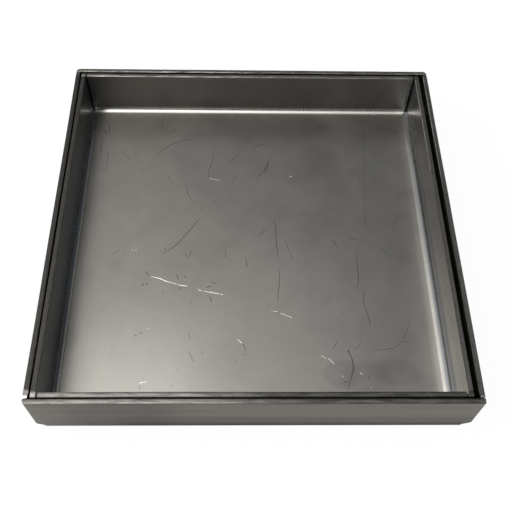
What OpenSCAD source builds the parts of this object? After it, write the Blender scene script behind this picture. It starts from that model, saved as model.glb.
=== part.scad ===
// Recessed inspection cover: an open tray folded from steel sheet, resting on the seat flange
// of a folded steel frame. The tray is filled with paving or tile on site.
// Millimetres. Origin at the middle of the frame's underside, +X to the right, +Y to the back, +Z up.

/* [Frame] */
// Width of the frame, across its front wall
frame_w = 250; // [150:1:600]
// Depth of the frame, from its front face to its back face
frame_d = 250; // [150:1:600]
// Height of the frame
frame_h = 40; // [25:1:80]
// Thickness of the frame's sheet
frame_t = 3; // [1.5:0.1:5]
// Inner radius of the fold between the frame's walls and its seat flange
frame_fold_r = 3; // [1:0.1:6]
// Width of the seat flange, from the wall's outer face to the clear opening
seat_w = 25; // [18:0.5:45]
// Radius that the back corners are ground to
back_corner_r = 2.5; // [0.5:0.1:3]
// Radius that the front corners are ground to
front_corner_r = 1.2; // [0.5:0.1:3]

/* [Tray] */
// Thickness of the tray's sheet
tray_t = 3; // [1.5:0.1:5]
// Inner radius of the fold between the tray's floor and its walls
tray_fold_r = 3; // [1:0.1:6]
// How far the tray's rim lies below the frame's rim
rim_drop = 0; // [0:0.1:3]

/* [Running gaps around the tray] */
// Gap between the tray and the frame on the left
gap_left = 0.9; // [0.3:0.1:4]
// Gap between the tray and the frame on the right
gap_right = 3; // [0.3:0.1:4]
// Gap between the tray and the frame at the front
gap_front = 0.9; // [0.3:0.1:4]
// Gap between the tray and the frame at the back
gap_back = 1.5; // [0.3:0.1:4]

/* [Frame corners] */
// Length along each wall that the corner relief takes out of the fold
frame_relief_w = 5.2; // [2:0.1:8]
// Height of the corner relief above the underside
frame_relief_h = 6.4; // [1:0.1:9]
// Height that the relief climbs to at the ends of the front and back walls
frame_relief_end_h = 9.6; // [6:0.1:14]
// Width of the joint between a side wall's end and the wall that it meets
frame_joint_w = 2; // [0.5:0.1:3]
// Depth of the weld in that joint, from the side wall's outer face
frame_weld_depth = 2.6; // [0.5:0.1:5]

/* [Tray corners] */
// Size of the square relief where two folds of the tray would meet
tray_relief = 4.4; // [2:0.1:8]
// Width of the open seam between a side wall and the end of the front or back wall
tray_seam_w = 0.9; // [0.3:0.1:3]
// Depth of the weld that closes the seam, from the tray's outer face
tray_weld_depth = 1.6; // [0.5:0.1:5]

/* [Hidden] */
$fn = 96;
// How far a cutting solid runs past the face that it cuts
past = 1;
sides = [-1, 1];

// Frame: room inside its walls, and the clear opening that the seat flange leaves
frame_bore_w = frame_w - 2 * frame_t;
frame_bore_d = frame_d - 2 * frame_t;
clear_w = frame_w - 2 * seat_w;
clear_d = frame_d - 2 * seat_w;
// Height where the frame's fold ends and its walls are straight
frame_fold_top = frame_t + frame_fold_r;
// The welds end above the corner reliefs
frame_weld_foot = max(frame_fold_top, frame_relief_end_h);

// Tray: it fills the frame's walls, less the running gaps, and stands on the seat flange
tray_w = frame_bore_w - gap_left - gap_right;
tray_d = frame_bore_d - gap_front - gap_back;
tray_h = frame_h - frame_t - rim_drop;
tray_x = (gap_left - gap_right) / 2;
tray_y = (gap_front - gap_back) / 2;
tray_fold_top = tray_t + tray_fold_r;

// The part of a square corner that lies outside a quarter circle
module corner_web(radius) {
    difference() {
        square(radius);
        translate([radius, radius]) circle(radius);
    }
}

// Outline of a trough: straight sides, a flat bottom and rounded folds between them
module trough(width, height, fold_r) {
    difference() {
        translate([-width / 2, 0]) square([width, height]);
        for (side = sides)
            scale([side, 1]) translate([-width / 2, 0]) corner_web(fold_r);
    }
}

// Block with the four lower edges rounded, as the outside or the inside of a folded pan
module folded_block(width, depth, height, fold_r) {
    intersection() {
        rotate([90, 0, 0]) linear_extrude(depth, center = true) trough(width, height, fold_r);
        rotate([90, 0, 90]) linear_extrude(width, center = true) trough(depth, height, fold_r);
    }
}

// Sheet pan: floor and four walls of one thickness, joined by folds
module folded_pan(width, depth, height, sheet_t, fold_r) {
    difference() {
        folded_block(width, depth, height, sheet_t + fold_r);
        translate([0, 0, sheet_t])
            folded_block(width - 2 * sheet_t, depth - 2 * sheet_t, height, fold_r);
    }
}

// Mirrors its children from the back right corner to all four corners
module at_corners(width, depth) {
    for (side = sides, end = sides)
        scale([side, end, 1]) translate([width / 2, depth / 2, 0]) children();
}

// Relief in the foot of the frame's corner: a square notch through the fold, and a slope above it
// that clears the end of the front or back wall
module frame_relief() {
    translate([-frame_relief_w, -frame_relief_w, -past])
        cube([frame_relief_w + past, frame_relief_w + past, frame_relief_h + past]);
    translate([0, past, 0])
        rotate([90, 0, 0]) linear_extrude(frame_t + past)
            polygon([
                [-frame_relief_w, 0],
                [past, 0],
                [past, frame_relief_end_h],
                [0, frame_relief_end_h],
                [-frame_relief_w, frame_relief_h]
            ]);
}

// Joint that parts a side wall and its fold from the front or back wall
module frame_joint() {
    joint_reach = max(frame_relief_w, frame_t);
    translate([-joint_reach, -frame_t - frame_joint_w, -past])
        cube([joint_reach, frame_joint_w, frame_h + 2 * past]);
}

// What grinding takes off two upright edges of the frame, at its back (1) or its front (-1)
module ground_edges(end, radius) {
    for (side = sides)
        scale([side, end, 1]) translate([frame_w / 2, frame_d / 2, -past])
            rotate(180) linear_extrude(frame_h + 2 * past) corner_web(radius);
}

module frame() {
    color([0.45, 0.45, 0.43])
        difference() {
            folded_pan(frame_w, frame_d, frame_h, frame_t, frame_fold_r);
            translate([0, 0, frame_t / 2])
                cube([clear_w, clear_d, frame_t + 2 * past], center = true);
            at_corners(frame_w, frame_d) {
                frame_relief();
                frame_joint();
            }
            ground_edges(1, back_corner_r);
            ground_edges(-1, front_corner_r);
        }
}

// Weld metal in the joints, ground flush with the side walls
module frame_corner_welds() {
    color([0.62, 0.62, 0.6])
        at_corners(frame_w, frame_d)
            translate([-frame_weld_depth, -frame_t - frame_joint_w, frame_weld_foot])
                cube([frame_weld_depth, frame_joint_w, frame_h - frame_weld_foot]);
}

// Slot between the side wall and the end of the front or back wall
module tray_seam() {
    seam_reach = max(tray_relief, tray_t);
    translate([-tray_t - tray_seam_w, -seam_reach, -past])
        cube([tray_seam_w, seam_reach + past, tray_h + 2 * past]);
}

// Square notch through the folds at the foot of the seam
module tray_corner_relief() {
    translate([-tray_relief, -tray_relief, -past])
        cube([tray_relief + past, tray_relief + past, tray_relief + past]);
}

module tray() {
    color([0.5, 0.5, 0.48])
        translate([tray_x, tray_y, frame_t])
            difference() {
                folded_pan(tray_w, tray_d, tray_h, tray_t, tray_fold_r);
                at_corners(tray_w, tray_d) {
                    tray_seam();
                    tray_corner_relief();
                }
            }
}

// Weld metal that closes the seams from outside, ground flush
module tray_corner_welds() {
    color([0.62, 0.62, 0.6])
        translate([tray_x, tray_y, frame_t])
            at_corners(tray_w, tray_d)
                translate([-tray_t - tray_seam_w, -tray_weld_depth, tray_fold_top])
                    cube([tray_seam_w, tray_weld_depth, tray_h - tray_fold_top]);
}

frame();
frame_corner_welds();
tray();
tray_corner_welds();
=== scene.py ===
# Looks of a recessed inspection cover: a folded steel tray lying in a folded steel frame.
import math
from collections import namedtuple

import bmesh
import bpy
from bpy.props import FloatProperty, FloatVectorProperty, IntProperty, PointerProperty
from mathutils import Euler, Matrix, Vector, noise


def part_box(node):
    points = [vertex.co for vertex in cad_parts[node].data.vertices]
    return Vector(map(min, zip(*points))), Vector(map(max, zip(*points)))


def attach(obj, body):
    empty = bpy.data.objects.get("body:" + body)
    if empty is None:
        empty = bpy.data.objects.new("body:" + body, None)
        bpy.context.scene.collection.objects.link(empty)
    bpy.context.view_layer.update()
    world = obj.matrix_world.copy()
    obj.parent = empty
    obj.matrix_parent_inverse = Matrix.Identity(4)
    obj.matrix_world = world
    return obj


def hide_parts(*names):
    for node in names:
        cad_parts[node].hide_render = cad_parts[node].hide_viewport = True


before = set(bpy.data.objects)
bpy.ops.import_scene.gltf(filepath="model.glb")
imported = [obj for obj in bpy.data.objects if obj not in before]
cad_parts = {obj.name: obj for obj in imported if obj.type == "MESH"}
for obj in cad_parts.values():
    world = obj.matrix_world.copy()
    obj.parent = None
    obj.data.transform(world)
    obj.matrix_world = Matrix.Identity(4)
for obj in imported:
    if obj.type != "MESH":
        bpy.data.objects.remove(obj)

bl_info = {
    "name": "Recessed inspection cover",
    "version": (1, 0, 0),
    "blender": (4, 5, 0),
    "location": "View3D > Sidebar > Cover",
    "description": "Builds the finish of a folded steel inspection cover around its solids",
    "category": "Object",
}

MM = 0.001
# Corners closer than NEAR to a place lie on it, and cuts and merges reach over TINY
NEAR = 0.01 * MM
TINY = 0.001 * MM
# Faces look smooth where they meet at less than the first angle, and edges past the second are eased
SMOOTH_BELOW = math.radians(14)
EASED_ABOVE = math.radians(40)
BODY = "root"
UP = Vector((0, 0, 1))
OUTWARDS = (Vector((1, 0, 0)), Vector((-1, 0, 0)), Vector((0, 1, 0)), Vector((0, -1, 0)))
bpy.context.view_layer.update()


def levels(node, axis):
    """The different places of a node's corners along one axis, from low to high."""
    return sorted({round(vert.co[axis], 5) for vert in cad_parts[node].data.vertices})


def outer_step(node, axis):
    """The width of the outermost solid of a node of like solids, along one axis."""
    places = levels(node, axis)
    return places[-1] - places[-2]


class Pan:
    """A pan folded from one sheet, as measured on its solid and on the welds in its corners."""

    def __init__(self, node, weld_node, joint_axis):
        """The welds lie one thickness of sheet behind the walls that face along joint_axis."""
        self.low, self.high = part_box(node)
        self.centre = (self.low + self.high) / 2
        self.half = (self.high - self.low) / 2
        self.weld_low, self.weld_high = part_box(weld_node)
        self.weld_size = Vector((outer_step(weld_node, 0), outer_step(weld_node, 1), 0))
        self.weld_size.z = self.weld_high.z - self.weld_low.z
        self.sheet = self.high[joint_axis] - self.weld_high[joint_axis]
        self.joint = self.weld_size[joint_axis]


def measured_pans():
    """The frame and the tray. Both have the tray's outer fold, which ends at the foot of its welds."""
    outer = Pan("frame", "frame_corner_welds", joint_axis=1)
    inner = Pan("tray", "tray_corner_welds", joint_axis=0)
    outer.fold = inner.fold = inner.weld_low.z - inner.low.z
    outer.window = min(abs(place) for place in levels("frame", 0))
    inner.window = 0
    return outer, inner


FRAME_PAN, TRAY_PAN = measured_pans()
TRAY_FLOOR_Z = TRAY_PAN.low.z + TRAY_PAN.sheet

# The camera, as fitted to the corners of the frame and the tray
CAMERA_PLACE = Vector((-0.0091, -0.26438, 0.41488))
CAMERA_TURN = [math.radians(angle) for angle in (31.832, -1.220, -0.545)]
CAMERA_LENS_MM = 51.42
SENSOR_MM = 36
PICTURE_PX = 512

# Tones of the cut edges and welds, wall by wall. They hold painted light: the front left edges carry a
# painted highlight, the frame's front left weld is ground bright with a painted highlight, and the tray's
# welds hold painted shade in their seams. The front edge's tone changes between two places in mm.
EdgeTones = namedtuple("EdgeTones", "left right back front_left front_right fade_from fade_to")
FRAME_EDGES = EdgeTones(0.062, 0.11, 0.12, 0.28, 0.1, -40, 30)
TRAY_EDGES = EdgeTones(0.066, 0.11, 0.12, 0.27, 0.08, -50, 20)
WeldTones = namedtuple("WeldTones", "front_left front_right back")
FRAME_WELDS = WeldTones(1.2, 0.3, 0.16)
TRAY_WELDS = WeldTones(0.05, 0.05, 0.04)


def on_floor(pixel):
    """The point of the tray's floor that the camera sees at a pixel."""
    reach = CAMERA_LENS_MM / SENSOR_MM * PICTURE_PX
    middle = PICTURE_PX / 2
    ray = Vector(((pixel[0] - middle) / reach, (middle - pixel[1]) / reach, -1))
    ray.rotate(Euler(CAMERA_TURN, "XYZ"))
    return CAMERA_PLACE + ray * ((TRAY_FLOOR_Z - CAMERA_PLACE.z) / ray.z)


# Stains on the floor, and two dark patches that are a painted reflection: pixel, reach across and along
# in mm, turn in degrees, softness and depth.
# A stain with a depth below 0 is brighter than the floor. They reach STAIN_HEIGHT mm up a fold.
STAINS_AND_REFLECTIONS = (
    ((342, 374), 11, 9, 0, 0.2, 0.13),
    ((396, 372), 16, 8, 6, 0.25, 0.13),
    ((367, 379), 14, 12, 0, 0.4, 0.12),
    ((115, 265), 4, 5, 0, 0.9, 0.08),
    ((404, 257), 6, 7, 0, 0.7, 0.08),
    ((71, 338), 4, 7, 0, 0.7, 0.12),
    ((90, 276), 4, 6, 0, 0.7, 0.07),
    # The next two are a painted reflection of a dark shape in the floor, not stains
    ((290, 148), 34, 32, 0, 0.15, 0.08),
    ((317, 152), 12, 20, 0, 0.7, 0.07),
    ((276, 156), 13, 14, 0, 0.8, -0.1),
)

STAIN_HEIGHT = 5

# The line across the back of the floor beyond which a painted reflection of the back wall darkens it,
# from the tray's middle in mm
WALL_REFLECTION_PIXEL = (300, 138)
WALL_REFLECTION_Y = (on_floor(WALL_REFLECTION_PIXEL).y - TRAY_PAN.centre.y) / MM

# Marks on the floor: a weight, then the pixels that the mark runs through
DARK_MARKS = (
    # Curls near the back wall
    (1.0, (106, 119.5), (109, 123), (110, 128), (108.7, 134)),
    (0.8, (105.4, 130), (106.2, 135)),
    (0.8, (105, 136.5), (102.5, 139), (101.2, 150), (100.4, 156.4)),
    (0.8, (134, 122), (136.5, 124.5)),
    (1.0, (139.4, 123.3), (145.2, 120), (147.7, 121.6)),
    (0.9, (156, 123), (159.7, 125), (161.8, 126.2), (168.8, 133.6), (172.1, 132.8)),
    (0.7, (163.8, 119), (161.8, 125.3)),
    (1.0, (173.4, 127.8), (175, 132.4)),
    (1.2, (167.3, 127)),
    (1.2, (177.1, 145.7)),
    (1.0, (346.4, 140.3)),
    (0.8, (156.8, 153.5), (161.4, 150.6), (170.5, 145.2), (179.6, 141.5), (187, 139.2), (191.2, 139.4)),
    (0.8, (108.3, 150.6), (107.9, 156.4), (106.6, 169.7)),
    (1.4, (103.7, 170.5)),
    (0.7, (121, 152.3), (128.6, 156), (129.4, 159.8)),
    (1.0, (116.2, 154.8)),
    (0.8, (167.3, 176.3), (170.5, 178.4), (172.8, 183.4)),
    (0.9, (230, 161.5), (235.5, 157.3), (239.9, 154)),
    (0.8, (248.2, 157.3), (253, 151.8), (256.7, 146.4), (260.3, 144.3), (266.4, 144.5)),
    (1.5, (273, 151.6)),
    (0.9, (283.3, 148.5)),
    (0.9, (288.2, 148.5)),
    # The left half
    (0.6, (185.4, 183), (187, 191.3), (190.4, 198.7), (194, 203.7)),
    (0.7, (213.6, 152.3), (213.2, 159.8), (210.3, 167.2), (207.6, 173.8), (208.6, 178)),
    (0.8, (214.8, 201.2), (212.8, 203.3)),
    (0.8, (202.8, 207.4), (200.3, 209)),
    (1.1, (208.5, 211.6)),
    (
        0.9, (201.2, 217), (195.4, 222.8), (190.3, 230), (183.7, 237), (175.5, 245.8), (169.4, 250),
        (161.2, 254.5),
    ),
    (0.8, (164.8, 247.5), (164.8, 250.5)),
    (1.1, (169.9, 244.8)),
    (0.8, (190.8, 250), (189.8, 256.5)),
    (0.5, (184.7, 252), (187.8, 258)),
    (0.8, (225, 249), (226.5, 254.5), (225, 258.6)),
    (0.8, (144.4, 271.3), (150, 276.4)),
    (0.7, (176.5, 274.4), (178.6, 279.5)),
    (0.7, (184.2, 276), (186.7, 278)),
    (0.8, (180.6, 287), (180, 289)),
    (0.9, (141.8, 285.6), (143.9, 283.6)),
    (0.9, (145.4, 284.6), (148, 283)),
    (1.1, (162.8, 292.2)),
    (0.8, (206.1, 287.7), (211.7, 285.6)),
    (0.8, (212.2, 282), (215.8, 283.6)),
    (0.9, (209.2, 296.3), (211.7, 301.4)),
    (0.9, (216.3, 316.2)),
    (0.9, (218, 319.6)),
    (0.9, (222.4, 329.8)),
    (0.8, (134.7, 335.6), (136.7, 335.1)),
    (1.0, (139.3, 333.6), (141.8, 332)),
    (0.5, (188.8, 332), (189.3, 339)),
    (0.5, (188.8, 351.4), (193.9, 362.7)),
    (0.9, (139.3, 385.6), (140.8, 387.7), (138.8, 389.2)),
    (0.5, (111.2, 255), (119.4, 250.4)),
    # The middle
    (0.6, (230, 184.5), (234.8, 179.7), (238.7, 175.5)),
    (0.9, (268.8, 159), (268.2, 164), (264.5, 170.6), (260.3, 173.6), (256.4, 179.3)),
    (0.7, (268.8, 162), (264.9, 173)),
    (0.9, (273.6, 219.7), (275.5, 225.2), (276.1, 239.7), (277.3, 249.4), (278.5, 260.3)),
    (0.7, (278.7, 267), (279.7, 276), (279.1, 287), (277.5, 295.5), (278.5, 301.5)),
    (0.7, (265.2, 230), (258.5, 235.5)),
    (0.8, (285.2, 240.3), (289.4, 253), (293, 259)),
    (1.2, (297.3, 262.7)),
    (0.9, (245.8, 258), (247, 266.4)),
    (1.3, (240, 296)),
    (0.9, (331.2, 239), (337.3, 246.4)),
    (0.9, (243, 343.5), (245.8, 351.2)),
    (1.3, (244.5, 354.8)),
    (1.2, (236, 361)),
    # The right half
    (0.4, (364, 121), (364.4, 170), (365, 222)),
    (0.8, (365.2, 216.7), (364.9, 222.7)),
    (1.1, (397.9, 220.9)),
    (1.1, (399.7, 237.3)),
    (0.7, (347.6, 237.5), (353, 238.7), (358.5, 239.7), (363.9, 242.7)),
    (0.9, (356, 251.8), (356.7, 262.7), (357.9, 272.4), (358.5, 281), (357.5, 288.8)),
    (0.9, (364.5, 290.6), (362.4, 298), (364.5, 305.2), (367.6, 314.8), (370.6, 322.7), (369.6, 326.4)),
    (0.9, (382, 248), (385.2, 254.8), (394.2, 255.5)),
    (1.6, (343.9, 312.4)),
    (1.2, (347.6, 350), (351.2, 356), (353.8, 365.8), (352.6, 374), (347.6, 390)),
    (1.9, (348.3, 350.6), (349, 352.6)),
    (0.6, (337.3, 341), (333, 349.4)),
    (0.7, (360.9, 342.7), (356.7, 351.2), (351.8, 347.6)),
    (0.6, (408.8, 321), (408.2, 330.6), (399.7, 345.2), (387.6, 350), (374.2, 350)),
    (0.8, (403.6, 342.6), (406.8, 341.2)),
    (0.6, (419.6, 340.6), (421.4, 339.2)),
    (0.8, (368.2, 379), (369.4, 376)),
    (0.9, (343.9, 381.5), (348.8, 382)),
)
BRIGHT_MARKS = (
    (1.2, (150.5, 276.4), (160.2, 278), (164.8, 281), (177, 284.1)),
    (1.1, (178, 284.6), (187.2, 286.1)),
    (0.9, (198, 289.7), (202, 290.7)),
    (1.0, (204, 291.2), (212.2, 292.4), (223, 294.6)),
    (0.5, (209.5, 178.4), (220.2, 180.5)),
    (1.0, (289.5, 176.4), (291.8, 176.4)),
    (0.5, (271.2, 311), (277.3, 311.5)),
    (0.4, (280, 312.8), (291.8, 317.5)),
    (0.9, (237.9, 339.7), (242.1, 343.3)),
    (0.4, (321.5, 355.5), (326, 358.5)),
    (0.5, (328, 357.8), (334.2, 363.9)),
    (0.9, (139.3, 383), (147.4, 381.3)),
    (0.5, (342.2, 375.5), (343.5, 377)),
    (0.6, (360.2, 372.8), (362.6, 374.4)),
    (1.0, (371, 387.6)),
    (0.9, (132.7, 249.4)),
    (0.9, (136, 250.4)),
    (0.9, (148, 328.5)),
)


class SheetSettings(bpy.types.PropertyGroup):
    """Sizes of the sheet's own small features."""

    fold_steps: IntProperty(name="Fold steps", description="Facets round each fold", default=12, min=3)
    mesh_pitch: FloatProperty(
        name="Mesh pitch", description="Spacing of the mesh along the walls", default=5 * MM, unit="LENGTH"
    )
    edge_ease: FloatProperty(
        name="Eased edge", description="Width of the eased sheet edges", default=0.25 * MM, unit="LENGTH"
    )
    fold_lift: FloatProperty(
        name="Fold lift", description="How far the tray's floor curls up beside its right and back folds",
        default=0.6 * MM, unit="LENGTH",
    )
    curl_reach: FloatProperty(
        name="Curl reach", description="Distance over which that curl dies away", default=5 * MM,
        unit="LENGTH",
    )
    floor_wave: FloatProperty(
        name="Floor wave", description="How far the tray's floor is from flat", default=0.06 * MM,
        unit="LENGTH",
    )
    wall_bow: FloatProperty(
        name="Wall bow", description="How far the walls wander from flat", default=0.12 * MM, unit="LENGTH"
    )
    rim_wander: FloatProperty(
        name="Rim wander", description="How uneven the cut rims are", default=0.08 * MM, unit="LENGTH"
    )
    frame_relief_w: FloatProperty(
        name="Frame relief width", description="Reach of the notch in the frame's foot", default=5.2 * MM,
        unit="LENGTH",
    )
    frame_relief_h: FloatProperty(
        name="Frame relief height", description="Height of the notch in the frame's foot", default=6.4 * MM,
        unit="LENGTH",
    )
    tray_relief: FloatProperty(
        name="Tray relief", description="Size of the square notch in the tray's foot", default=4.4 * MM,
        unit="LENGTH",
    )
    back_corner_r: FloatProperty(
        name="Back corner radius", description="Grinding of the frame's back corners", default=2.5 * MM,
        unit="LENGTH",
    )
    front_left_r: FloatProperty(
        name="Front left radius", description="Grinding of the frame's front left corner",
        default=2.0 * MM, unit="LENGTH",
    )
    front_right_r: FloatProperty(
        name="Front right radius", description="Grinding of the frame's front right corner",
        default=0.7 * MM, unit="LENGTH",
    )


class FinishSettings(bpy.types.PropertyGroup):
    """Colours of the steel."""

    frame_steel: FloatVectorProperty(
        name="Frame steel", description="Mill finish of the frame", subtype="COLOR",
        default=(0.108, 0.1008, 0.0873), min=0, max=1,
    )
    tray_steel: FloatVectorProperty(
        name="Tray steel", description="Mill finish of the tray", subtype="COLOR",
        default=(0.292, 0.284, 0.267), min=0, max=1,
    )
    cut_steel: FloatVectorProperty(
        name="Cut edge", description="Tint of the sheared edges", subtype="COLOR",
        default=(1.0, 0.965, 0.91), min=0, max=1,
    )
    weld_steel: FloatVectorProperty(
        name="Weld", description="Ground weld metal", subtype="COLOR", default=(0.8, 0.79, 0.76),
        min=0, max=1,
    )
    dark_mark: FloatVectorProperty(
        name="Dark marks", description="Scuffs and fibres on the floor", subtype="COLOR",
        default=(0.03, 0.028, 0.026), min=0, max=1,
    )
    bright_mark: FloatVectorProperty(
        name="Bright marks", description="Scratches down to bright metal", subtype="COLOR",
        default=(0.75, 0.72, 0.68), min=0, max=1,
    )


class StageSettings(bpy.types.PropertyGroup):
    """The floor and the light."""

    floor_shade: FloatVectorProperty(
        name="Floor", description="Colour of the floor", subtype="COLOR", default=(0.9, 0.9, 0.9),
        min=0, max=1,
    )
    room_light: FloatProperty(name="Room", description="Brightness of the room overhead", default=0.66)
    softbox_light: FloatProperty(name="Soft light", description="Brightness of the soft light", default=4.2)
    light_limit: FloatProperty(name="Limit", description="Brightest that the light gets", default=5.0)


class Shade:
    """One value in a material's node tree, so that shader maths reads as an expression."""

    def __init__(self, tree, socket=None):
        self.tree = tree
        self.socket = socket

    def add(self, kind, settings=None, inputs=None, output=0):
        """Adds a node, with its settings first and then the values or links of its sockets."""
        node = self.tree.nodes.new(kind)
        for name, value in (settings or {}).items():
            setattr(node, name, value)
        for name, value in (inputs or {}).items():
            if isinstance(value, Shade):
                self.tree.links.new(value.socket, node.inputs[name])
            else:
                node.inputs[name].default_value = value
        return Shade(self.tree, node.outputs[output])

    def math(self, operation, *values):
        return self.add("ShaderNodeMath", {"operation": operation}, dict(enumerate(values)))

    def vector(self, operation, *values, output=0):
        return self.add("ShaderNodeVectorMath", {"operation": operation}, dict(enumerate(values)), output)

    def __add__(self, other):
        return self.math("ADD", self, other)

    def __radd__(self, other):
        return self.math("ADD", other, self)

    def __sub__(self, other):
        return self.math("SUBTRACT", self, other)

    def __rsub__(self, other):
        return self.math("SUBTRACT", other, self)

    def __mul__(self, other):
        return self.math("MULTIPLY", self, other)

    def __rmul__(self, other):
        return self.math("MULTIPLY", other, self)

    def __truediv__(self, other):
        return self.math("DIVIDE", self, other)

    def step(self, low, high):
        """0 below low, 1 above high, and smooth between them."""
        settings = {"interpolation_type": "SMOOTHSTEP"}
        return self.add("ShaderNodeMapRange", settings, {"Value": self, "From Min": low, "From Max": high})

    def most(self, other):
        return self.math("MAXIMUM", self, other)

    def least(self, other):
        return self.math("MINIMUM", self, other)

    def size(self):
        return self.math("ABSOLUTE", self)

    def exp(self):
        return self.math("EXPONENT", self)

    def mix(self, first, second):
        """The first number at 0 and the second at 1."""
        return first + (second - first) * self

    def places(self):
        """The three coordinates of a vector, each by itself."""
        return [self.add("ShaderNodeSeparateXYZ", {}, {0: self}, axis) for axis in range(3)]

    def mapped(self, scale=(1, 1, 1), turn=(0, 0, 0), move=(0, 0, 0)):
        inputs = {"Vector": self, "Location": move, "Rotation": turn, "Scale": scale}
        return self.add("ShaderNodeMapping", {}, inputs)

    def length(self):
        return self.vector("LENGTH", self, output=1)

    def noise(self, scale, detail=3, roughness=0.5, distortion=0):
        inputs = {"Vector": self, "Scale": scale, "Detail": detail}
        inputs.update({"Roughness": roughness, "Distortion": distortion})
        return self.add("ShaderNodeTexNoise", {}, inputs)

    def blend(self, first, second):
        """Mixes two colours by this value: the first at 0 and the second at 1."""
        inputs = {0: self, 6: first, 7: second}
        return self.add("ShaderNodeMix", {"data_type": "RGBA"}, inputs, output=2)

    def tinted(self, colour):
        """This value times a colour."""
        return self.vector("MULTIPLY", self, tuple(colour[:3]))

    def bump(self, height_mm):
        """A bump whose height is this value times height_mm."""
        return self.add("ShaderNodeBump", {}, {"Height": self, "Strength": 1.0, "Distance": height_mm * MM})


def new_material(name):
    """A metal material, its surface node, and a point's place in millimetres to start shader maths from."""
    material = bpy.data.materials.new(name)
    material.use_nodes = True
    surface = material.node_tree.nodes["Principled BSDF"]
    surface.inputs["Metallic"].default_value = 1
    place = Shade(material.node_tree).add("ShaderNodeTexCoord", output="Object")
    return material, surface, place.vector("MULTIPLY", place, (1 / MM,) * 3)


def connect(material, surface, **values):
    """Links values to the surface's sockets. An underscore stands for a space."""
    for name, value in values.items():
        material.node_tree.links.new(value.socket, surface.inputs[name.replace("_", " ")])


def within(place, low, high, soft):
    """1 between two places and 0 outside them, with soft ends."""
    return place.step(low - soft, low) * (1 - place.step(high, high + soft))


def pan_places(mm, pan):
    """A point's place in millimetres, from the middle of a pan's foot."""
    x, y, z = mm.places()
    return x - pan.centre.x / MM, y - pan.centre.y / MM, z - pan.low.z / MM


def end_walls(y, pan):
    """1 on a pan's front and back walls, and 0 between them."""
    inner_face = (pan.half.y - pan.sheet) / MM
    return y.size().step(inner_face - 0.4, inner_face - 0.2)


def shifted(colour, shares):
    """A colour with each of its parts times a share of its own."""
    return [part * share for part, share in zip(colour, shares)]


def stains_and_reflections(tone, mm):
    """Darkens a tone where grease and water have dried on the tray's floor, and where it carries a painted
    reflection.
    """
    for pixel, reach_x, reach_y, turn, soft, depth in STAINS_AND_REFLECTIONS:
        middle = on_floor(pixel) / MM
        near = mm.vector("SUBTRACT", mm, tuple(middle)).mapped(turn=(0, 0, math.radians(turn)))
        away = near.vector("MULTIPLY", near, (1 / reach_x, 1 / reach_y, 1 / STAIN_HEIGHT)).length()
        tone = tone * (1 - depth * (1 - away.step(1 - soft, 1 + soft)))
    return tone


def painted_floor_sheen(x, y):
    """A painted sheen that lightens and darkens the floor from place to place, by places in mm. The front
    left is brightest.
    """
    front = (1 - y.step(-115, -20)) * x.step(-112, -90) * x.step(-60, 5).mix(0.3, -0.06)
    back_left = 0.05 * (1 - x.step(-100, -60)) * y.step(70, 110)
    right = 0.08 * x.step(20, 110) * (1 - y.step(20, 90))
    middle = 0.045 * within(x, -15, 15, 50) * y.step(-60, -20)
    return 1 + front + back_left - right - middle


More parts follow.
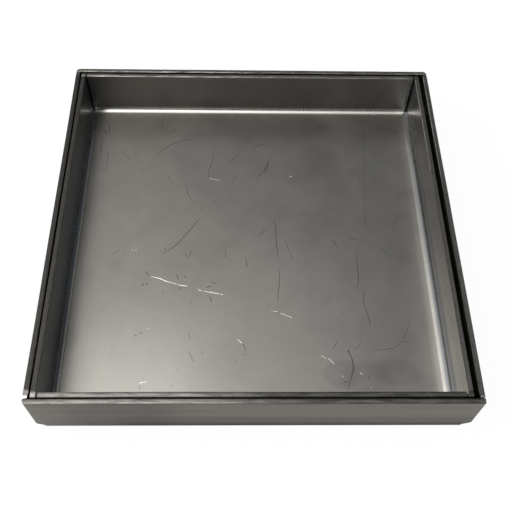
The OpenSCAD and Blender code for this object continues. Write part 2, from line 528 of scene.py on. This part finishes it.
def mill_steel(name, colour, roughness, pan):
    """Cold-rolled sheet: cloudy tone, faint rolling grain, fine specks, and smoother folds with a painted
    highlight.

    Painted shade darkens the left fold, and a painted glow lightens the foot of the wall above it. A painted
    reflection makes the right fold's upper part and the foot of the wall above it darker and bluish, and
    tints both side walls bluish. A painted sheen lightens the floor and the right wall from place to place.
    All limits of steps are places in mm.
    """
    material, surface, mm = new_material(name)
    x, y, z = pan_places(mm, pan)
    rounded = pan.fold / MM + 0.3
    edge = pan.half.x / MM - rounded
    end_edge = pan.half.y / MM - rounded
    beside = x.size().step(edge - 0.6, edge).most(y.size().step(end_edge - 0.6, end_edge))
    fold = beside * (1 - z.step(rounded, rounded + 0.6))

    left_wall = 1 - x.step(-edge, -edge + 1)
    # Painted shade on the left fold, deeper towards the front
    left_fold_painted_shade = (0.65 - 0.25 * y.step(-80, 0)) * fold * left_wall * (1 - z.step(4, 5.8))
    # Painted light: the left fold's upper part and the foot of the wall above it are lighter
    left_wall_painted_glow = 0.8 * left_wall * z.step(3.6, 4.8) * (1 - z.step(8, 14))

    right_wall = x.step(edge, edge + 1)
    right_fold = x.step(edge + 1.2, edge + 2.8) * (1 - z.step(5, 6))
    # Painted reflection of the dark left wall: the right fold's upper part and the foot of the wall above it
    # are darker
    above_fold = right_wall * z.step(5.2, 7.2) * (1 - z.step(14, 21)) * (1 - y.step(30, 100))
    right_fold_painted_shade = (right_fold * (0.55 - 0.33 * y.step(-100, 90))).most(0.51 * above_fold)
    # Painted light: the right wall is lighter towards the front and darker towards the back
    right_wall_painted_light = y.step(-120, 10).mix(1.6, 0.8 + 0.05 * y.step(0, 60))

    # Painted highlight: the floor beside the right fold is lighter, most towards the front
    right_fold_painted_glow = x.step(edge - 6, edge + 0.5) * (1 - 0.6 * y.step(-80, 60)) * (1 - right_fold)
    # Painted sheen on the floor, with the painted glow beside the right fold
    floor_painted_light = painted_floor_sheen(x, y) * (1 + 0.45 * right_fold_painted_glow)
    painted_place_light = x.step(edge + 2, edge + 3).mix(floor_painted_light, right_wall_painted_light)
    # All painted light: a highlight on every fold, shade on the left and right folds, a glow on the left
    # wall, and the sheen of the floor and the right wall
    folded = (1 + 0.35 * fold - left_fold_painted_shade) * (1 - right_fold_painted_shade) * painted_place_light * (1 + left_wall_painted_glow)

    clouds = mm.noise(0.012, detail=2)
    grain = mm.mapped(scale=(0.5, 0.02, 0.5)).noise(1, detail=3)
    smears = mm.mapped(move=(31, 7, 3)).noise(0.06, detail=5, roughness=0.6, distortion=0.8)
    mottle = mm.noise(0.7, detail=3, roughness=0.7)
    specks = mm.mapped(move=(5, 9, 2)).noise(0.55, detail=1).step(0.76, 0.8)
    # Painted reflection of the back wall: the floor's right part is a little darker beyond that line
    back_wall_reflection = x.step(-80, -20) * y.step(WALL_REFLECTION_Y - 0.7, WALL_REFLECTION_Y + 0.7)
    tone = 0.72 + 0.22 * clouds + 0.2 * smears + 0.03 * grain + 0.12 * mottle
    tone = stains_and_reflections(tone * (1 - 0.35 * specks) * (1 - 0.03 * back_wall_reflection) * folded, mm)

    # Painted reflection: a darker, bluish colour where the steel mirrors dark, cool surroundings
    bluish = tone.tinted(shifted(colour, (0.58, 0.64, 0.76)))
    right_wall_blue_reflection = right_wall * y.step(-60, 60).mix(0.15, 0.5)
    blue_reflection = above_fold.most(right_fold).most(0.3 * left_wall).most(right_wall_blue_reflection)
    connect(
        material,
        surface,
        Base_Color=blue_reflection.blend(tone.tinted(colour), bluish),
        Roughness=roughness - 0.06 + 0.12 * smears + 0.04 * mottle - 0.05 * fold - 0.05 * right_wall,
        Normal=((grain + 0.5 * mottle) * (1 - 0.8 * fold)).bump(0.006),
    )
    return material


def drawn_steel(name, colour, roughness, pan):
    """The frame's sheet: long level drag marks, heat tint beside the welds, and painted shade on its foot
    and faces.
    """
    material, surface, mm = new_material(name)
    x, y, z = pan_places(mm, pan)
    on_end = end_walls(y, pan)
    drags = mm.mapped(scale=(0.012, 0.012, 0.42)).noise(1, detail=4, roughness=0.6)
    fine = mm.mapped(scale=(0.03, 0.03, 2.2), move=(4, 4, 1)).noise(1, detail=2)
    clouds = mm.mapped(move=(60, 20, 9)).noise(0.022, detail=3, distortion=0.5)
    left = on_end * (1 - x.step(-100, -60))
    # Painted shade: the faces are darker below about 20 mm, except at the left of the end walls, and just
    # under the rim
    level = (1 - 0.3 * (1 - left) * (1 - z.step(18, 21))) * (1 - 0.35 * z.step(38.6, 39.4))
    # Painted shade on the left part of the front face
    shade = 0.18 * (1 - x.step(-60, -20)) + 0.2 * within(x, -92, -58, 22)
    front_shade = on_end * (1 - y.step(-1, 1)) * shade
    # Painted shade on the foot, less at the left of the end walls
    foot = (1 - z.step(6.5, 12)) * (1 - 0.8 * left)
    tone = (0.2 + 0.8 * drags + 0.3 * fine + 0.6 * clouds) * level * (1 - 0.9 * foot) * (1 - front_shade)
    joint = (pan.half.y - pan.sheet - pan.joint / 2) / MM
    heat = within(y.size(), joint - 1.5, joint + 1.5, 5) * (1 - on_end) * (0.35 + 0.9 * clouds)
    burnt = tone.tinted(shifted(colour, (0.62, 0.5, 0.42)))
    connect(
        material,
        surface,
        Base_Color=heat.blend(tone.tinted(colour), burnt),
        Roughness=roughness - 0.08 + 0.16 * clouds + 0.06 * fine,
        Normal=(drags + 0.5 * fine).bump(0.012),
    )
    return material


def dressed_end(x, y, pan):
    """1 where the grinder ran over the front end of the left wall's rim."""
    from_front = y + pan.half.y / MM
    start = (pan.sheet + pan.joint) / MM if pan.window else 0
    on_left_rim = 1 - (x + (pan.half.x - pan.sheet) / MM).step(-0.3, 0.1)
    return on_left_rim * from_front.step(start - 0.4, start) * (1 - from_front.step(start + 2, start + 4))


def cut_steel(name, colour, pan, tones):
    """Sheared edges: streaks along each wall, bright specks, burrs with painted highlights, one tone per
    wall.
    """
    material, surface, mm = new_material(name)
    x, y, _ = pan_places(mm, pan)
    on_end = end_walls(y, pan)
    # Each wall's tone is partly painted light: the front left edge carries a painted highlight
    side_tone = x.step(-30, 30).mix(tones.left, tones.right)
    front_tone = x.step(tones.fade_from, tones.fade_to).mix(tones.front_left, tones.front_right)
    wall_tone = on_end.mix(side_tone, y.step(-30, 30).mix(front_tone, tones.back))

    along_y = mm.mapped(scale=(1.6, 0.25, 1.2)).noise(1, detail=2).step(0.3, 0.7)
    along_x = mm.mapped(scale=(0.09, 1.7, 1.2)).noise(1, detail=3, roughness=0.6).step(0.34, 0.66)
    streaks = on_end.mix(0.5 * along_y, along_x)
    beads = mm.noise(1.9, detail=4, roughness=0.8).step(0.36, 0.64)
    specks = mm.mapped(move=(3, 8, 1)).noise(1.3, detail=2).step(0.63, 0.69)
    patches = mm.mapped(scale=(0.07, 0.5, 1), move=(6, 2, 8)).noise(1, detail=2).step(0.36, 0.64)
    wear = 0.5 + 0.48 * streaks + 0.75 * beads + 0.45 * on_end * (patches - 0.5)

    depth = on_end.mix(pan.half.x / MM - x.size(), pan.half.y / MM - y.size())
    inner_shade = on_end.mix(0.25, y.step(0, 10).mix(0.6, 0.1)) * depth.step(1.3, 2.8)
    outer_shade = on_end.mix(0.2, 0.45) * (1 - depth.step(0.1, 0.8))
    # Painted highlight on a burr along the back rims' inner edges
    back_burr_highlight = within(depth, 2.2, 2.7, 0.3) * on_end * y.step(0, 10) * (1 - 0.7 * x.step(-40, 30))
    inner_face = (pan.half.x - pan.sheet) / MM
    # Painted highlight on the burr along the right rim's inner edge, towards the back
    right_burr_highlight = within(x, inner_face + 0.1, inner_face + 0.5, 0.2) * y.step(0, 70) * (1 - on_end)

    tone = wall_tone * (1 - inner_shade) * (1 - outer_shade) * wear
    tone = tone + 0.45 * dressed_end(x, y, pan) * beads
    tone = tone + (0.1 * specks + 1.3 * back_burr_highlight * streaks) * (0.2 + 0.8 * beads)
    tone = tone + 0.6 * right_burr_highlight * beads * beads
    connect(
        material,
        surface,
        Base_Color=tone.tinted(colour),
        Roughness=0.36 + 0.2 * beads,
        Normal=(beads + 0.7 * streaks).bump(0.05),
    )
    return material


def weld_steel(name, colour, pan, tones):
    """Weld metal dressed with a grinder; each corner's tone holds painted light. Only its top end is bright.
    """
    material, surface, mm = new_material(name)
    x, y, z = pan_places(mm, pan)
    front = x.step(-30, 30).mix(tones.front_left, tones.front_right)
    # Each corner's tone holds painted light: a highlight at the frame's front left, shade in the tray's
    # seams
    corner = y.step(-30, 30).mix(front, tones.back)
    marks = mm.mapped(scale=(2.5, 0.5, 2.5), turn=(0.5, 0, 0)).noise(1, detail=3, roughness=0.6)
    ripples = mm.mapped(scale=(0.3, 0.3, 1.1)).noise(1, detail=2)
    weld_top = (pan.weld_high.z - pan.low.z) / MM
    top = z.step(weld_top - 1.2, weld_top - 0.6)
    tone = corner * top.mix(0.35, 1) * (0.5 + 0.6 * marks + 0.4 * ripples)
    connect(
        material,
        surface,
        Base_Color=tone.tinted(colour),
        Roughness=0.3 + 0.25 * marks,
        Normal=(marks + ripples).bump(0.06),
    )
    return material


def mark_material(name, colour, metallic, roughness):
    """Material of the marks on the tray's floor, a little uneven in tone."""
    material, surface, mm = new_material(name)
    surface.inputs["Metallic"].default_value = metallic
    surface.inputs["Roughness"].default_value = roughness
    tone = 0.6 + 0.8 * mm.noise(0.4, detail=3)
    connect(material, surface, Base_Color=tone.tinted(colour))
    return material


def new_piece(name, bm, materials, replaces):
    """Makes a piece of the finished mesh: flat faces stay flat and folds are smooth."""
    mesh = bpy.data.meshes.new(name)
    bm.to_mesh(mesh)
    bm.free()
    mesh.shade_smooth()
    mesh.set_sharp_from_angle(angle=SMOOTH_BELOW)
    piece = bpy.data.objects.new(name, mesh)
    bpy.context.scene.collection.objects.link(piece)
    for material in materials:
        mesh.materials.append(material)
    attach(piece, BODY)
    if replaces:
        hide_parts(replaces)
    return piece


def grown(bm, edges, shift):
    """Extrudes edges by a shift, and returns the new faces."""
    made = bmesh.ops.extrude_edge_only(bm, edges=edges)["geom"]
    verts = [item for item in made if isinstance(item, bmesh.types.BMVert)]
    bmesh.ops.translate(bm, verts=verts, vec=shift)
    return [item for item in made if isinstance(item, bmesh.types.BMFace)]


def cut_out(bm, faces, planes):
    """Takes out the part of some faces that lies in front of every plane, each a point and a normal."""
    for point, normal in planes:
        geom = set(faces)
        for face in faces:
            geom.update(face.verts)
            geom.update(face.edges)
        cut = bmesh.ops.bisect_plane(bm, geom=list(geom), dist=TINY, plane_co=point, plane_no=normal)
        pieces = [item for item in cut["geom"] if isinstance(item, bmesh.types.BMFace)]
        faces = [face for face in pieces if (face.calc_center_median() - point).dot(normal) > TINY]
    bmesh.ops.delete(bm, geom=faces, context="FACES")


def fold_up(bm, pan, out, steps):
    """Folds a wall up from one edge of the floor, and runs both its ends to the mitred corners."""
    along = UP.cross(out)
    across = abs(pan.half.dot(out)) - pan.fold
    length = abs(pan.half.dot(along)) - pan.fold
    edge = next(
        edge for edge in bm.edges
        if all(abs(vert.co.dot(out) - across) + abs(vert.co.z - pan.low.z) < NEAR for vert in edge.verts)
    )
    older = set(bm.faces)
    middle = (edge.verts[0].co + edge.verts[1].co) / 2
    spun = bmesh.ops.spin(
        bm, geom=[edge], cent=middle + UP * pan.fold, axis=-along, dvec=(0, 0, 0),
        angle=math.pi / 2, steps=steps, use_merge=False, use_duplicate=False,
    )
    top = [item for item in spun["geom_last"] if isinstance(item, bmesh.types.BMEdge)]
    grown(bm, top, UP * (pan.high.z - pan.low.z - pan.fold))
    side_faces = [face for face in bm.faces if face not in older]
    for side in (-1, 1):
        ends = [
            edge for face in side_faces for edge in face.edges
            if all(abs(vert.co.dot(along) - side * length) < NEAR for vert in edge.verts)
        ]
        extension = grown(bm, ends, along * (side * pan.fold))
        corner = out * abs(pan.half.dot(out)) + along * (side * abs(pan.half.dot(along)))
        cut_out(bm, extension, [(corner, (along * side - out).normalized())])


def pan_skin(pan, steps):
    """The outer skin of the whole pan: its floor or flange, mitred folds and walls, centred."""
    bm = bmesh.new()
    bmesh.ops.create_grid(bm, x_segments=1, y_segments=1, size=1)
    floor_half = pan.half - Vector((pan.fold, pan.fold, 0))
    bmesh.ops.scale(bm, vec=(floor_half.x, floor_half.y, 1), verts=bm.verts)
    bmesh.ops.translate(bm, vec=(0, 0, pan.low.z), verts=bm.verts)
    if pan.window:
        flange = floor_half.x - pan.window
        bmesh.ops.inset_region(
            bm, faces=bm.faces[:], thickness=flange, use_boundary=True, use_even_offset=True
        )
        middle = min(bm.faces, key=lambda face: face.calc_center_median().xy.length)
        bmesh.ops.delete(bm, geom=[middle], context="FACES")
    for out in OUTWARDS:
        fold_up(bm, pan, out, steps)
    bmesh.ops.remove_doubles(bm, verts=bm.verts, dist=TINY)
    bmesh.ops.recalc_face_normals(bm, faces=bm.faces[:])
    if min(bm.faces, key=lambda face: face.calc_center_median().z).normal.z > 0:
        bmesh.ops.reverse_faces(bm, faces=bm.faces[:])
    return bm


def corners(pan):
    """Each corner of a pan, with the outward directions of its side wall and its end wall."""
    for side in (Vector((-1, 0, 0)), Vector((1, 0, 0))):
        for end in (Vector((0, -1, 0)), Vector((0, 1, 0))):
            yield side * pan.half.x + end * pan.half.y, side, end


def open_frame_corners(bm, pan, sheet):
    """Parts the frame's side walls from its end walls, and notches the feet of the corners."""
    foot = UP * (pan.low.z + sheet.frame_relief_h)
    climb = pan.weld_low.z - pan.low.z - sheet.frame_relief_h
    for corner, side, end in corners(pan):
        notch = [(corner - side * sheet.frame_relief_w, side), (corner - end * sheet.frame_relief_w, end)]
        joint = (corner - end * (pan.sheet + pan.joint), end)
        cut_out(bm, bm.faces[:], [joint, notch[0], (corner, (side - end).normalized())])
        cut_out(bm, bm.faces[:], notch + [(foot, -UP)])
        slope = (side * climb - UP * sheet.frame_relief_w).normalized()
        cut_out(bm, bm.faces[:], notch + [(notch[0][0] + foot, slope)])


def open_tray_corners(bm, pan, sheet):
    """Parts the tray's front and back walls from its side walls, and notches the feet of the corners."""
    foot = UP * (pan.low.z + sheet.tray_relief)
    for corner, side, end in corners(pan):
        notch = [(corner - side * sheet.tray_relief, side), (corner - end * sheet.tray_relief, end)]
        seam = (corner - side * (pan.sheet + pan.joint), side)
        cut_out(bm, bm.faces[:], [seam, notch[1], (corner, (end - side).normalized())])
        cut_out(bm, bm.faces[:], notch + [(foot, -UP)])


def cut_across(bm, pan, pitch):
    """Cuts the skin into narrow strips, closer beside each fold, so that it can wander from flat."""
    beside = 1 * MM
    support = (0.4 * MM, beside, 1.7 * MM, 2.5 * MM, 4 * MM)
    for axis in (0, 1):
        reach = pan.half[axis] - pan.fold
        count = round(2 * reach / pitch)
        places = [-reach + 2 * reach * number / count for number in range(1, count)]
        places += [side * (reach - step) for step in support for side in (-1, 1)]
        for place in places:
            point, facing = Vector((0, 0, 0)), Vector((0, 0, 0))
            point[axis] = place
            facing[axis] = 1
            whole = bm.verts[:] + bm.edges[:] + bm.faces[:]
            bmesh.ops.bisect_plane(bm, geom=whole, dist=TINY, plane_co=point, plane_no=facing)
    whole = bm.verts[:] + bm.edges[:] + bm.faces[:]
    above = UP * (pan.low.z + pan.fold + beside)
    bmesh.ops.bisect_plane(bm, geom=whole, dist=TINY, plane_co=above, plane_no=UP)


def floor_rise(place, pan, sheet):
    """How far the floor lies above its level, at a place measured from the pan's middle.

    The curl dies away over the floor and fades before the left and front folds, and its slope runs on
    into the right and back ones. The waves fade before all four.
    """
    curl_fade, wave_fade, wave_length = 8 * MM, 20 * MM, 55 * MM
    right = pan.half.x - pan.fold - place.x
    left = max(0.0, pan.half.x - pan.fold + place.x)
    back = pan.half.y - pan.fold - place.y
    front = max(0.0, pan.half.y - pan.fold + place.y)
    near = min(right, back) / sheet.curl_reach
    curl = sheet.fold_lift * (math.exp(-near) if near > 0 else 1 - near)
    curl *= min(1.0, min(left, front) / curl_fade)
    wave = sheet.floor_wave * noise.noise(Vector((place.x, place.y, 0)) / wave_length)
    wave *= min(1.0, min(left, front) / wave_fade) * min(1.0, max(0.0, min(right, back)) / wave_fade)
    return curl + wave


def curled(bm, pan, sheet):
    """Curls the floor of a skin up a little beside its folds, and makes it gently uneven."""
    for vert in bm.verts:
        rise = min(1.0, (vert.co.z - pan.low.z) / pan.fold)
        vert.co.z += floor_rise(vert.co, pan, sheet) * (1 - rise)


def wander(bm, pan, sheet):
    """Lets the walls bow a little above their folds, and the cut rims rise and fall."""
    bow_length, rim_length = 45 * MM, 7 * MM
    straight = pan.high.z - pan.low.z - pan.fold
    for vert in bm.verts:
        rise = max(0.0, vert.co.z - pan.low.z - pan.fold) / straight
        level = Vector((vert.co.x, vert.co.y, 0)) / bow_length
        bow = noise.noise(level + pan.centre / MM) * sheet.wall_bow * rise
        for axis in (0, 1):
            if abs(vert.co[axis]) > pan.half[axis] - pan.sheet - MM / 2:
                vert.co[axis] += bow
        if vert.co.z > pan.high.z - MM / 10:
            vert.co.z -= abs(noise.noise(vert.co / rim_length)) * sheet.rim_wander


def eased(bm, edges, width, segments=2):
    """Rounds off edges."""
    bmesh.ops.bevel(
        bm, geom=edges, offset=width, offset_type="OFFSET", segments=segments, profile=0.5,
        affect="EDGES", material=-1, clamp_overlap=False,
    )


def folded_sheet(pan, sheet, open_corners, ground=()):
    """The whole pan as one sheet: skin, corners, thickness, ground corners and eased edges."""
    bm = pan_skin(pan, sheet.fold_steps)
    open_corners(bm, pan, sheet)
    cut_across(bm, pan, sheet.mesh_pitch)
    if not pan.window:
        curled(bm, pan, sheet)
    outside = set(bm.faces)
    made = bmesh.ops.solidify(bm, geom=bm.faces[:], thickness=pan.sheet)["geom"]
    inside = {item for item in made if isinstance(item, bmesh.types.BMFace)}
    for face in bm.faces:
        face.material_index = 0 if face in outside or face in inside else 1
    for side, end, radius in ground:
        corner = Vector((side * pan.half.x, end * pan.half.y))
        upright = [
            edge for edge in bm.edges if all((vert.co.xy - corner).length < NEAR for vert in edge.verts)
        ]
        eased(bm, upright, radius, segments=8)
    wander(bm, pan, sheet)
    sharp = [edge for edge in bm.edges if edge.is_manifold and edge.calc_face_angle() > EASED_ABOVE]
    eased(bm, sharp, sheet.edge_ease)
    bmesh.ops.translate(bm, vec=(pan.centre.x, pan.centre.y, 0), verts=bm.verts)
    return bm


def weld_runs(pan, gap):
    """One dressed run of weld metal in each corner of a pan, short of the end wall by a gap."""
    rings = 40
    ripple_depth, ripple_width, ripple_height = 0.12 * MM, 6 * MM, 1.3 * MM
    size = pan.weld_size
    rounding = 0.2 * min(size.x, size.y)
    top_ease = 0.15 * MM
    bm = bmesh.new()
    for _, side, end in corners(pan):
        high = Vector((pan.weld_high.x - pan.centre.x, pan.weld_high.y - pan.centre.y, 0))
        middle = side * (high.x - size.x / 2) + end * (high.y - size.y / 2)
        middle.z = (pan.weld_low.z + pan.weld_high.z) / 2
        made = bmesh.ops.create_cube(bm, size=1)["verts"]
        bmesh.ops.scale(bm, vec=size - Vector(abs(part) for part in end) * gap, verts=made)
        bmesh.ops.translate(bm, vec=middle - end * (gap / 2), verts=made)
        tall = {edge for vert in made for edge in vert.link_edges}
        tall = [edge for edge in tall if abs((edge.verts[0].co - edge.verts[1].co).normalized().z) > 0.9]
        eased(bm, tall, rounding, segments=3)
    for number in range(1, rings):
        level = UP * (pan.weld_low.z + size.z * number / rings)
        whole = bm.verts[:] + bm.edges[:] + bm.faces[:]
        bmesh.ops.bisect_plane(bm, geom=whole, dist=TINY, plane_co=level, plane_no=UP)
    for vert in bm.verts:
        x, y, z = vert.co
        ripple = noise.noise(Vector((x / ripple_width, y / ripple_width, z / ripple_height)))
        outward = Vector((x / pan.half.x, y / pan.half.y, 0)).normalized()
        vert.co += outward * (ripple * ripple_depth)
    top = [edge for edge in bm.edges if all(vert.co.z > pan.weld_high.z - MM / 10 for vert in edge.verts)]
    eased(bm, [edge for edge in top if edge.calc_face_angle(0) > 1], top_ease)
    bmesh.ops.translate(bm, vec=(pan.centre.x, pan.centre.y, 0), verts=bm.verts)
    return bm


def marks_mesh(name, marks, width, height, sheet):
    """Thin tapered ribbons that lie on the tray's floor, one for each mark. One pixel makes a short dash."""
    dash = Vector((0.4, 0.2))
    tip_share, unevenness, grain = 0.35, 0.4, 3 * MM
    curve = bpy.data.curves.new(name, "CURVE")
    curve.dimensions = "3D"
    curve.bevel_depth = 1 * MM
    curve.bevel_resolution = 0
    curve.resolution_u = 6
    curve.use_fill_caps = True
    for weight, *pixels in marks:
        if len(pixels) == 1:
            pixels = [Vector(pixels[0]) - dash, Vector(pixels[0]) + dash]
        spline = curve.splines.new("NURBS")
        spline.points.add(len(pixels) - 1)
        spline.order_u = min(3, len(pixels))
        spline.use_endpoint_u = True
        for number, (point, pixel) in enumerate(zip(spline.points, pixels)):
            place = on_floor(pixel)
            point.co = (place.x, place.y, 0, 1)
            tip = number in (0, len(pixels) - 1) and len(pixels) > 2
            share = tip_share if tip else 0.8 + unevenness * noise.noise(place / grain)
            point.radius = weight * width / 2 * share / curve.bevel_depth
    holder = bpy.data.objects.new(name, curve)
    bpy.context.scene.collection.objects.link(holder)
    depsgraph = bpy.context.evaluated_depsgraph_get()
    bm = bmesh.new()
    bm.from_mesh(holder.evaluated_get(depsgraph).to_mesh())
    bpy.data.objects.remove(holder)
    bpy.data.curves.remove(curve)
    deepest = max(abs(vert.co.z) for vert in bm.verts)
    bmesh.ops.scale(bm, vec=(1, 1, height / deepest), verts=bm.verts)
    bmesh.ops.translate(bm, vec=(0, 0, TRAY_FLOOR_Z), verts=bm.verts)
    for vert in bm.verts:
        vert.co.z += floor_rise(vert.co - TRAY_PAN.centre, TRAY_PAN, sheet)
    bmesh.ops.recalc_face_normals(bm, faces=bm.faces[:])
    return bm


class COVER_OT_frame_sheet(bpy.types.Operator):
    """Build the folded frame"""

    bl_idname = "cover.frame_sheet"
    bl_label = "Frame sheet"

    def execute(self, context):
        finish = context.scene.cover_finish
        sheet = context.scene.cover_sheet
        ground = (
            (-1, 1, sheet.back_corner_r), (1, 1, sheet.back_corner_r),
            (-1, -1, sheet.front_left_r), (1, -1, sheet.front_right_r),
        )
        bm = folded_sheet(FRAME_PAN, sheet, open_frame_corners, ground)
        materials = [
            drawn_steel("frame_drawn_steel", finish.frame_steel, roughness=0.4, pan=FRAME_PAN),
            cut_steel("frame_cut_edge", finish.cut_steel, FRAME_PAN, FRAME_EDGES),
        ]
        new_piece("frame_sheet", bm, materials, "frame")
        return {"FINISHED"}


class COVER_OT_tray_sheet(bpy.types.Operator):
    """Build the folded tray"""

    bl_idname = "cover.tray_sheet"
    bl_label = "Tray sheet"

    def execute(self, context):
        finish = context.scene.cover_finish
        bm = folded_sheet(TRAY_PAN, context.scene.cover_sheet, open_tray_corners)
        materials = [
            mill_steel("tray_mill_steel", finish.tray_steel, roughness=0.3, pan=TRAY_PAN),
            cut_steel("tray_cut_edge", finish.cut_steel, TRAY_PAN, TRAY_EDGES),
        ]
        new_piece("tray_sheet", bm, materials, "tray")
        return {"FINISHED"}


class COVER_OT_welds(bpy.types.Operator):
    """Build the runs of weld in the corners of the frame and the tray"""

    bl_idname = "cover.welds"
    bl_label = "Corner welds"

    def execute(self, context):
        colour = context.scene.cover_finish.weld_steel
        for pan, node, tones, gap in (
            (FRAME_PAN, "frame_corner_welds", FRAME_WELDS, 0.4 * MM),
            (TRAY_PAN, "tray_corner_welds", TRAY_WELDS, 0),
        ):
            bm = weld_runs(pan, gap)
            material = weld_steel(node + "_steel", colour, pan, tones)
            new_piece(node.replace("corner_", ""), bm, [material], node)
        return {"FINISHED"}


class COVER_OT_floor_marks(bpy.types.Operator):
    """Build the scuffs and scratches on the tray's floor"""

    bl_idname = "cover.floor_marks"
    bl_label = "Floor marks"

    def execute(self, context):
        finish = context.scene.cover_finish
        sheet = context.scene.cover_sheet
        dark = mark_material("dark_scuff", finish.dark_mark, metallic=0, roughness=0.6)
        bright = mark_material("bright_scratch", finish.bright_mark, metallic=1, roughness=0.35)
        bm = marks_mesh("dark_marks", DARK_MARKS, 0.62 * MM, 0.06 * MM, sheet)
        new_piece("dark_marks", bm, [dark], None)
        bm = marks_mesh("bright_marks", BRIGHT_MARKS, 0.55 * MM, 0.05 * MM, sheet)
        new_piece("bright_marks", bm, [bright], None)
        return {"FINISHED"}


class COVER_OT_stage(bpy.types.Operator):
    """Set up the floor, the soft light and the camera"""

    bl_idname = "cover.stage"
    bl_label = "Stage"

    def execute(self, context):
        stage = context.scene.cover_stage
        make_floor(stage)
        make_room(context.scene, stage)
        make_camera(context.scene)
        context.scene.view_settings.view_transform = "Standard"
        return {"FINISHED"}


def make_floor(stage):
    """A pale floor. The camera sees it as white with a faint shadow, and the steel sees a tenth of that."""
    reach, below = 12, 0.05 * MM
    white_share, metal_share = 0.95, 0.1
    bm = bmesh.new()
    bmesh.ops.create_circle(bm, cap_ends=True, segments=64, radius=reach)
    bmesh.ops.translate(bm, vec=(0, 0, FRAME_PAN.low.z - below), verts=bm.verts)
    mesh = bpy.data.meshes.new("floor")
    bm.to_mesh(mesh)
    bm.free()
    floor = bpy.data.objects.new("floor", mesh)
    bpy.context.scene.collection.objects.link(floor)
    material = bpy.data.materials.new("pale_floor")
    material.use_nodes = True
    surface = material.node_tree.nodes["Principled BSDF"]
    surface.inputs["Base Color"].default_value = (*stage.floor_shade, 1)
    surface.inputs["Roughness"].default_value = 0.9
    start = Shade(material.node_tree)
    by_camera = start.add("ShaderNodeLightPath", output="Is Camera Ray")
    through_glass = start.add("ShaderNodeLightPath", output="Is Transmission Ray")
    in_metal = start.add("ShaderNodeLightPath", output="Is Glossy Ray")
    seen = by_camera.most(through_glass).most(metal_share * in_metal)
    white = start.add("ShaderNodeEmission", {}, {"Color": (1, 1, 1, 1), "Strength": 1.0})
    lit = Shade(material.node_tree, surface.outputs[0])
    mixed = start.add("ShaderNodeMixShader", {}, {0: white_share * seen, 1: lit, 2: white})
    output = material.node_tree.nodes["Material Output"]
    material.node_tree.links.new(mixed.socket, output.inputs["Surface"])
    mesh.materials.append(material)


def soft_light(x, y):
    """The large soft light overhead, by direction: 1 at its middle, and fading all round."""
    middle_x, middle_y = -0.139, -0.154
    spread_x, spread_y = 0.178, 0.321
    across, along = (x - middle_x) / spread_x, (y - middle_y) / spread_y
    return (-0.5 * (across * across + along * along)).exp()


def make_room(scene, stage):
    """A studio with one large soft light overhead, brighter to the left, and dark behind the camera."""
    world = bpy.data.worlds.new("studio")
    world.use_nodes = True
    scene.world = world
    start = Shade(world.node_tree)
    x, y, z = start.add("ShaderNodeTexCoord", output="Generated").places()
    # The room's glow by direction, chosen so that the floor's tones match the photograph
    room = (x * (0.45 * x + 0.68 * y - 2.02) - y * (0.52 * y + 1.5)).exp()
    light = (stage.room_light * room + stage.softbox_light * soft_light(x, y)).least(stage.light_limit)
    dark_side = (-1 * y).step(0.38, 0.52) * (0.6 + 0.33 * within(z, 0.5, 0.82, 0.12))
    warm = (light * (1 - dark_side)).tinted((1.0, 0.983, 0.955))
    cool = x.step(-0.1, 0.5).tinted((0.0, 0.02, 0.05))
    camera_ray = start.add("ShaderNodeLightPath", output="Is Camera Ray")
    colour = camera_ray.blend(warm.vector("ADD", warm, cool), (1, 1, 1, 1))
    world.node_tree.links.new(colour.socket, world.node_tree.nodes["Background"].inputs["Color"])


def make_camera(scene):
    """The camera at the photograph's viewing angle."""
    data = bpy.data.cameras.new("camera")
    data.lens = CAMERA_LENS_MM
    data.sensor_width = SENSOR_MM
    data.clip_start = 0.01
    camera = bpy.data.objects.new("camera", data)
    camera.location = CAMERA_PLACE
    camera.rotation_euler = Euler(CAMERA_TURN, "XYZ")
    scene.collection.objects.link(camera)
    scene.camera = camera


class COVER_PT_sidebar(bpy.types.Panel):
    """Lists the steps and their settings"""

    bl_label = "Inspection cover"
    bl_space_type = "VIEW_3D"
    bl_region_type = "UI"
    bl_category = "Cover"

    def draw(self, context):
        for name in ("cover_sheet", "cover_finish", "cover_stage"):
            group = getattr(context.scene, name)
            for key in group.__annotations__:
                self.layout.prop(group, key)
        for operator in OPERATORS:
            self.layout.operator(operator.bl_idname)


OPERATORS = (
    COVER_OT_stage,
    COVER_OT_frame_sheet,
    COVER_OT_tray_sheet,
    COVER_OT_welds,
    COVER_OT_floor_marks,
)
GROUPS = {"cover_sheet": SheetSettings, "cover_finish": FinishSettings, "cover_stage": StageSettings}
CLASSES = (*GROUPS.values(), *OPERATORS, COVER_PT_sidebar)


def register():
    for item in CLASSES:
        bpy.utils.register_class(item)
    for name, group in GROUPS.items():
        setattr(bpy.types.Scene, name, PointerProperty(type=group))


def unregister():
    for name in GROUPS:
        delattr(bpy.types.Scene, name)
    for item in reversed(CLASSES):
        bpy.utils.unregister_class(item)


def main():
    register()
    bpy.ops.cover.stage()
    bpy.ops.cover.frame_sheet()
    bpy.ops.cover.tray_sheet()
    bpy.ops.cover.welds()
    bpy.ops.cover.floor_marks()


if __name__ == "__main__":
    main()
